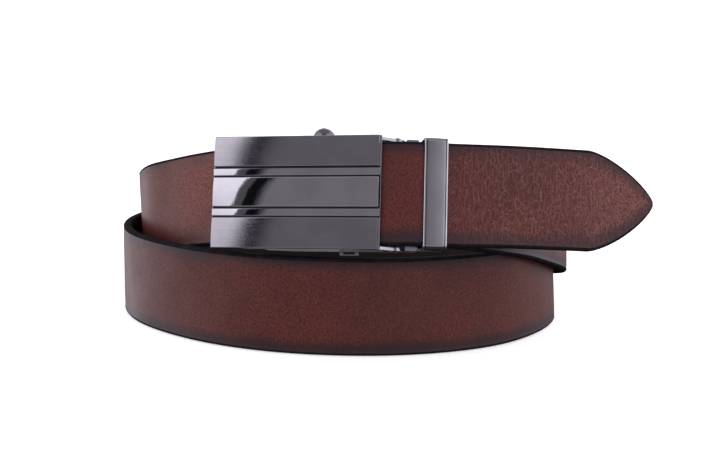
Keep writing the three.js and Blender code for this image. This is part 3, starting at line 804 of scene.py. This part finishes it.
def leather_material():
    n = MaterialNodes("leather_front")
    wide = n.uv((1.0, 1.0, 1.0))
    stretched = n.uv((1.6, 0.75, 1.0))
    mottle = n.noise(wide, 55.0, 4.0, 0.6, 0.4)
    patches = n.noise(wide, 14.0, 2.0, 0.5)
    pores = n.noise(n.object_coords(), 1250.0, 3.0, 0.7)
    grain = n.noise(n.uv((1.0, 0.85, 1.0)), 1500.0, 2.0, 0.6, 0.5)
    wrinkles = n.noise(stretched, 330.0, 4.0, 0.62, 1.2)
    creases = n.noise(n.uv((2.6, 0.5, 1.0)), 150.0, 3.0, 0.6, 2.0)
    bend = n.times(n.noise(wide, 500.0, 3.0, 0.6), VEIN_BEND)
    bent = n.add("ShaderNodeVectorMath", {0: stretched, 1: bend}, operation="ADD").outputs[0]
    cells = n.cells(bent, 410.0, feature="DISTANCE_TO_EDGE")
    dots = n.cells(wide, 900.0)
    pebble, burnish, painted_highlight = (n.attribute(name) for name in ("pebble", "burnish", "painted_highlight"))

    # Tone: red in patches, redder under the keeper, and lighter where a painted highlight lies on the coil's
    # upper left and a painted sheen towards the tail's tip
    tone = n.mix(n.ramp(patches, 0.3, 0.7), LEATHER_BASE, LEATHER_WARM)
    tone = n.mix(n.times(n.attribute("warm"), 0.7), tone, LEATHER_UNDER_KEEPER)
    tone = n.mix(n.times(painted_highlight, 0.8), tone, n.mix(pebble, LEATHER_PAINTED_HIGHLIGHT, LEATHER_PAINTED_TIP_SHEEN))
    tone = n.mix(n.ramp(mottle, 0.35, 0.75, 0.0, 0.32), tone, LEATHER_DARK)
    tone = n.mix(n.ramp(pores, 0.4, 0.68, 0.0, 0.6), tone, LEATHER_DARK)
    tone = n.mix(n.ramp(grain, 0.44, 0.62, 0.0, 0.9), tone, LEATHER_DARK)

    # The tail's pits darkened as painted shade in its hollows, and its pale veins as painted highlights on
    # its ridges
    pit_shade = n.times(n.ramp(dots, 0.1, 0.34, 1.0, 0.0), pebble)
    lines = n.times(n.ramp(cells, 0.01, 0.09, 1.0, 0.0), n.ramp(wrinkles, 0.38, 0.6))
    ridges = n.ramp(n.math("ABSOLUTE", n.math("SUBTRACT", creases, 0.5)), 0.0, 0.025, 1.0, 0.0)
    ridge_highlights = n.times(n.math("MAXIMUM", lines, n.times(ridges, 0.8)), pebble)
    # Painted shade in the pits, then painted highlights on the ridges
    tone = n.mix(n.times(pit_shade, 0.8), tone, LEATHER_DARK)
    tone = n.mix(n.times(ridge_highlights, 0.7), tone, LEATHER_RIDGE_HIGHLIGHT)

    # Burnished edges, weaker on the tail
    uneven = n.math("ADD", burnish, n.ramp(mottle, 0.2, 0.8, -0.16, 0.16))
    burn_share = n.times(n.ramp(uneven, 0.15, 1.0, 0.0, 0.88), n.ramp(pebble, 0.0, 1.0, 1.0, 0.74))
    n.set(Base_Color=n.mix(burn_share, tone, LEATHER_BURN))

    # Relief: pores everywhere, pebbles, wrinkles and creases mostly on the tail
    relief = n.bump(pores, PORE_DEPTH, 0.55)
    relief = n.bump(n.times(n.ramp(cells, 0.0, 0.22), pebble), PEBBLE_DEPTH, 0.55, relief)
    relief = n.bump(n.times(wrinkles, pebble), WRINKLE_DEPTH, 0.75, relief)
    relief = n.bump(n.times(creases, pebble), CREASE_DEPTH, 0.55, relief)
    n.set(Normal=relief, Roughness=n.ramp(mottle, 0.2, 0.8, *LEATHER_ROUGH))
    # Less specular where the painted highlight lies on smooth leather
    smooth_highlight = n.times(painted_highlight, n.math("SUBTRACT", 1.0, pebble))
    n.set(Specular_IOR_Level=n.math("SUBTRACT", LEATHER_SPECULAR, n.times(smooth_highlight, HIGHLIGHT_SPECULAR_LOSS)))
    return n.material


def back_leather():
    n = MaterialNodes("leather_back")
    coords = n.object_coords()
    fuzz = n.noise(coords, 1500.0, 4.0, 0.7)
    blotch = n.noise(coords, 60.0, 3.0, 0.55)
    # Tones near black: the back's own dark tone, darkened further as painted shade for the gap under the
    # buckle where it shows
    tone = n.mix(n.ramp(blotch, 0.3, 0.7), (0.012, 0.007, 0.007, 1), (0.021, 0.012, 0.010, 1))
    n.set(Base_Color=n.mix(n.ramp(fuzz, 0.35, 0.7, 0.0, 0.5), tone, (0.009, 0.006, 0.006, 1)))
    n.set(Normal=n.bump(fuzz, 0.00012, 0.6), Roughness=n.ramp(fuzz, 0.3, 0.7, 0.66, 0.8))
    n.set(Specular_IOR_Level=0.15)
    return n.material


def painted_edge():
    n = MaterialNodes("leather_edge_paint")
    coords = n.object_coords()
    ripple = n.noise(coords, 260.0, 3.0, 0.5)
    grit = n.noise(coords, 2200.0, 2.0, 0.6)
    n.set(Base_Color=n.mix(n.ramp(ripple, 0.3, 0.7), (0.011, 0.010, 0.012, 1), (0.020, 0.017, 0.019, 1)))
    n.set(Normal=n.bump(grit, 0.00005, 0.35, n.bump(ripple, 0.0002, 0.35)))
    n.set(Roughness=n.ramp(ripple, 0.3, 0.7, 0.82, 0.92), Specular_IOR_Level=0.02)
    return n.material


# Metals: smudged all over, and brushed ones with fine streaks along their grain
SMUDGE_SHADE = 0.86
STREAK_SHADE = 0.75
STREAK_DEPTH = 0.00001
FINE_STREAK_DEPTH = 0.000007
FINE_STREAK_SCALE = 2.3
BRUSHED_STRENGTH = 0.25
FACE_GRAIN = (45.0, 2400.0, 1.0)
KEEPER_GRAIN = (60.0, 2200.0, 1.0)


def shaded(tone, share):
    return (*(part * share for part in tone), 1)


def metal_material(name, tone, low_rough, high_rough, brushed_along=None):
    n = MaterialNodes(name)
    coords = n.object_coords()
    smudge = n.noise(coords, 90.0, 3.0, 0.55)
    base = n.mix(n.ramp(smudge, 0.3, 0.7), shaded(tone, 1.0), shaded(tone, SMUDGE_SHADE))
    if brushed_along:
        streaks = n.noise(n.uv(brushed_along), 1.0, 4.0, 0.7)
        fine = n.noise(n.uv([part * FINE_STREAK_SCALE for part in brushed_along]), 1.0, 3.0, 0.7)
        base = n.mix(n.ramp(streaks, 0.3, 0.7, 0.0, 0.4), base, shaded(tone, STREAK_SHADE))
        normal = n.bump(streaks, STREAK_DEPTH, BRUSHED_STRENGTH)
        normal = n.bump(fine, FINE_STREAK_DEPTH, BRUSHED_STRENGTH, normal)
        rough = n.ramp(streaks, 0.25, 0.75, low_rough, high_rough)
        tangent = n.add("ShaderNodeTangent", direction_type="UV_MAP", uv_map="UVMap").outputs[0]
        n.set(Anisotropic=0.45, Anisotropic_Rotation=0.25, Tangent=tangent)
    else:
        normal = n.bump(n.noise(coords, 700.0, 2.0, 0.6), STREAK_DEPTH, 0.12)
        rough = n.ramp(smudge, 0.3, 0.7, low_rough, high_rough)
    n.set(Metallic=1.0, Base_Color=base, Normal=normal, Roughness=rough)
    return n.material


leather_front = leather_material()
leather_back = back_leather()
edge_paint = painted_edge()
face_satin = metal_material("buckle_face_satin", (0.30, 0.288, 0.315), 0.05, 0.08, FACE_GRAIN)
face_mirror = metal_material("buckle_face_mirror", (0.41, 0.396, 0.428), 0.012, 0.025)
keeper_satin = metal_material("keeper_satin", (0.288, 0.275, 0.294), 0.16, 0.22, KEEPER_GRAIN)
# Near-black metal for the grooves: painted shade in recesses
groove_painted_shade = metal_material("groove_painted_shade", (0.03, 0.028, 0.032), 0.4, 0.5)
keeper_edge = metal_material("keeper_edge", (0.40, 0.39, 0.42), 0.12, 0.18)
frame_metal = metal_material("frame_metal", (0.34, 0.33, 0.35), 0.14, 0.22)
clamp_metal = metal_material("clamp_metal", (0.28, 0.25, 0.28), 0.2, 0.3)
polished_metal = metal_material("polished_metal", (0.14, 0.136, 0.15), 0.12, 0.18)
pin_metal = metal_material("pin_metal", (0.05, 0.048, 0.053), 0.3, 0.4)


# Pieces
belt_strap = make_strap()
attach(belt_strap, "belt")
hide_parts("strap")

buckle_face = make_face()
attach(buckle_face, "belt")
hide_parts("face_plate")

keeper_band = make_keeper()
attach(keeper_band, "belt")
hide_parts("keeper")

lever_piece = make_lever()
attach(lever_piece, "lever")
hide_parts("release_lever")

PACKED_FINISHES = (
    ("buckle_frame", frame_metal), ("strap_clamp", clamp_metal), ("clamp_flap", clamp_metal),
    ("hinge_pin", pin_metal), ("stop_pin", pin_metal),
)
for node, material in PACKED_FINISHES:
    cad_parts[node].data.materials[0] = material

# Floor
FLOOR_HALF = 6.0
FLOOR_GLOW = 0.5


def make_floor():
    half = FLOOR_HALF
    mesh = bpy.data.meshes.new("floor")
    corners = [(-half, -half, 0), (half, -half, 0), (half, half, 0), (-half, half, 0)]
    mesh.from_pydata(corners, [], [(0, 1, 2, 3)])
    floor = bpy.data.objects.new("floor", mesh)
    bpy.context.scene.collection.objects.link(floor)
    n = MaterialNodes("floor_paper")
    fibre = n.noise(n.object_coords(), 30.0, 2.0, 0.5)
    n.set(Base_Color=n.mix(fibre, (0.92, 0.92, 0.92, 1), (0.94, 0.94, 0.94, 1)), Roughness=0.9)
    n.set(Emission_Color=(1, 1, 1, 1), Emission_Strength=FLOOR_GLOW)
    mesh.materials.append(n.material)
    floor.visible_diffuse = False
    floor.visible_glossy = False


make_floor()

# Studio light: angles in degrees, measured from the front to the left or the right, or up from level ground.
# The bright panel on the left has a slanted, curved edge, and a dark gap lies beside it.
SOFT_EDGE = 0.08
PANEL_EDGE = 30.45
PANEL_BACK_EDGE = 80.0
PANEL_CURVE = 0.00033
PANEL_CURVE_START = 4.0
PANEL_POWER = 2.5
PANEL_LIGHT = 1.8
PANEL_GAIN = 0.008
PANEL_MIDDLE = 19.0
GAP_DEEP_START = 0.5
GAP_DEEP_RISE = 0.2
GAP_END = 1.7
GAP_FADE = (-0.5, 0.4)
GAP_SHADE = 0.55
GAP_DEEP_SHADE = 0.97

# Further round to the left, the panel passes into a key light and then into the light behind the belt
KEY_LIGHT = 1.7
KEY_TURN = (52.0, 68.0)
LEFT_BACK = 1.0
LEFT_BACK_TURN = (96.0, 118.0)

# Soft grey front, brighter to the right
FRONT_GREY = 0.34
FRONT_RISE = 0.08
FRONT_TURN = (-15.0, 12.0)
RIGHT_PANEL = 1.3
RIGHT_TURN = (15.0, 38.0)

# Ceiling, and the light from below level that surfaces mirror, which fades out further down and at the back
TOP_LIGHT = 0.7
TOP_HEIGHT = (44.0, 56.0)
LOW_HEIGHT = (-6.0, 0.0)
DEEP_HEIGHT = (-42.0, -20.0)
LOW_FRONT = 0.8
LOW_LEFT = 1.6
LOW_LEFT_TURN = (30.0, 80.0)
LOW_RIGHT = 0.4
LOW_RIGHT_TURN = (40.0, 80.0)
LOW_BACK = 0.12
LOW_BACK_TURN = (135.0, 160.0)
LOW_DEEP = 0.08

BACKDROP = 1.3
LIGHT_TINT = (1.0, 0.97, 1.05)


class LightNodes(Nodes):
    """The surround's node tree, with its directions as angles in degrees."""

    def __init__(self, tree):
        super().__init__(tree)
        direction = self.add("ShaderNodeTexCoord").outputs["Generated"]
        x, y, z = self.add("ShaderNodeSeparateXYZ", {0: direction}).outputs[:3]
        leftwards, forwards = self.times(x, -1.0), self.times(y, -1.0)
        degrees = math.degrees(1.0)
        self.to_left = self.times(self.math("ARCTAN2", leftwards, forwards), degrees)
        self.to_right = self.times(self.to_left, -1.0)
        self.to_side = self.times(self.math("ARCSINE", leftwards), degrees)
        self.height = self.times(self.math("ARCSINE", z), degrees)

    def plus(self, a, b):
        return self.math("ADD", a, b)

    def minus(self, a, b):
        return self.math("SUBTRACT", a, b)

    def blend(self, share, a, b):
        return self.plus(self.times(a, self.minus(1.0, share)), self.times(share, b))


def beyond_panel_edge(n):
    """Degrees past the panel's edge, which leans to the right with height; negative in front of it."""
    rise = n.math("POWER", n.math("MAXIMUM", n.minus(n.height, PANEL_CURVE_START), 0.0), PANEL_POWER)
    edge = n.minus(PANEL_EDGE, n.times(rise, PANEL_CURVE))
    return n.math("MAXIMUM", n.minus(n.to_side, edge), n.minus(n.to_left, PANEL_BACK_EDGE))


def panel_light(n):
    gain = n.plus(n.times(n.minus(n.height, PANEL_MIDDLE), PANEL_GAIN), 1.0)
    light = n.blend(n.ramp(n.to_left, *KEY_TURN), n.times(gain, PANEL_LIGHT), KEY_LIGHT)
    return n.plus(light, n.ramp(n.to_left, *LEFT_BACK_TURN, 0.0, LEFT_BACK - KEY_LIGHT))


def front_light(n):
    grey = n.ramp(n.to_right, *FRONT_TURN, FRONT_GREY, FRONT_GREY + FRONT_RISE)
    return n.plus(grey, n.ramp(n.to_right, *RIGHT_TURN, 0.0, RIGHT_PANEL))


def gap_shade(n, beyond):
    beside = n.times(beyond, -1.0)
    start = n.ramp(beside, -SOFT_EDGE, SOFT_EDGE)
    end = n.ramp(beside, *(GAP_END + fade for fade in GAP_FADE), 1.0, 0.0)
    depth = n.ramp(beside, GAP_DEEP_START, GAP_DEEP_START + GAP_DEEP_RISE, GAP_SHADE, GAP_DEEP_SHADE)
    return n.times(n.times(start, end), depth)


def low_light(n):
    light = n.plus(n.ramp(n.to_left, *LOW_LEFT_TURN, LOW_FRONT, LOW_LEFT),
                   n.ramp(n.to_right, *LOW_RIGHT_TURN, 0.0, LOW_RIGHT - LOW_FRONT))
    light = n.times(light, n.ramp(n.height, *DEEP_HEIGHT))
    light = n.times(light, n.ramp(n.math("ABSOLUTE", n.to_left), *LOW_BACK_TURN, 1.0, LOW_BACK))
    return n.math("MAXIMUM", light, LOW_DEEP)


def make_world():
    world = bpy.data.worlds.new("studio")
    bpy.context.scene.world = world
    world.use_nodes = True
    n = LightNodes(world.node_tree)
    beyond = beyond_panel_edge(n)
    light = n.blend(n.ramp(beyond, -SOFT_EDGE, SOFT_EDGE), front_light(n), panel_light(n))
    light = n.times(light, n.minus(1.0, gap_shade(n, beyond)))
    light = n.blend(n.ramp(n.height, *TOP_HEIGHT), light, TOP_LIGHT)
    light = n.blend(n.ramp(n.height, *LOW_HEIGHT, 1.0, 0.0), light, low_light(n))
    seen = n.add("ShaderNodeLightPath").outputs["Is Camera Ray"]
    light = n.blend(seen, light, BACKDROP)
    tinted = {channel: n.times(light, share) for channel, share in enumerate(LIGHT_TINT)}
    colour = n.add("ShaderNodeCombineColor", tinted).outputs[0]
    n.put(n.tree.nodes["Background"].inputs["Color"], colour)


make_world()

# Camera at the photograph's angle: places in millimetres, focal length and photo's width in its pixels, and
# the nearest and farthest distances drawn in metres
CAMERA_ELEVATION = 9.4
CAMERA_ROLL = 1.62
CAMERA_DISTANCE = 392.0
CAMERA_LOOK = Vector((1.8, 0.0, 28.7))
FOCAL_PIXELS = 908.0
PHOTO_WIDTH = 707.0
SENSOR = 36.0
CLIP_START = 0.01
CLIP_END = 50.0


def make_camera():
    elevation, roll = math.radians(CAMERA_ELEVATION), math.radians(CAMERA_ROLL)
    back = Vector((0, -math.cos(elevation), math.sin(elevation)))
    right = Vector((1, 0, 0))
    up = back.cross(right)
    data = bpy.data.cameras.new("camera")
    data.sensor_width = SENSOR
    data.sensor_fit = "HORIZONTAL"
    data.lens = SENSOR * FOCAL_PIXELS / PHOTO_WIDTH
    data.clip_start = CLIP_START
    data.clip_end = CLIP_END
    camera = bpy.data.objects.new("camera", data)
    turned_right = right * math.cos(roll) + up * math.sin(roll)
    turned_up = up * math.cos(roll) - right * math.sin(roll)
    place = (CAMERA_LOOK + shift + back * CAMERA_DISTANCE) * MM
    turned = Matrix((turned_right, turned_up, back)).transposed().to_4x4()
    camera.matrix_world = Matrix.Translation(place) @ turned
    bpy.context.scene.collection.objects.link(camera)
    return camera


bpy.context.scene.camera = make_camera()
bpy.context.scene.view_settings.view_transform = "Standard"
bpy.context.scene.view_settings.look = "None"
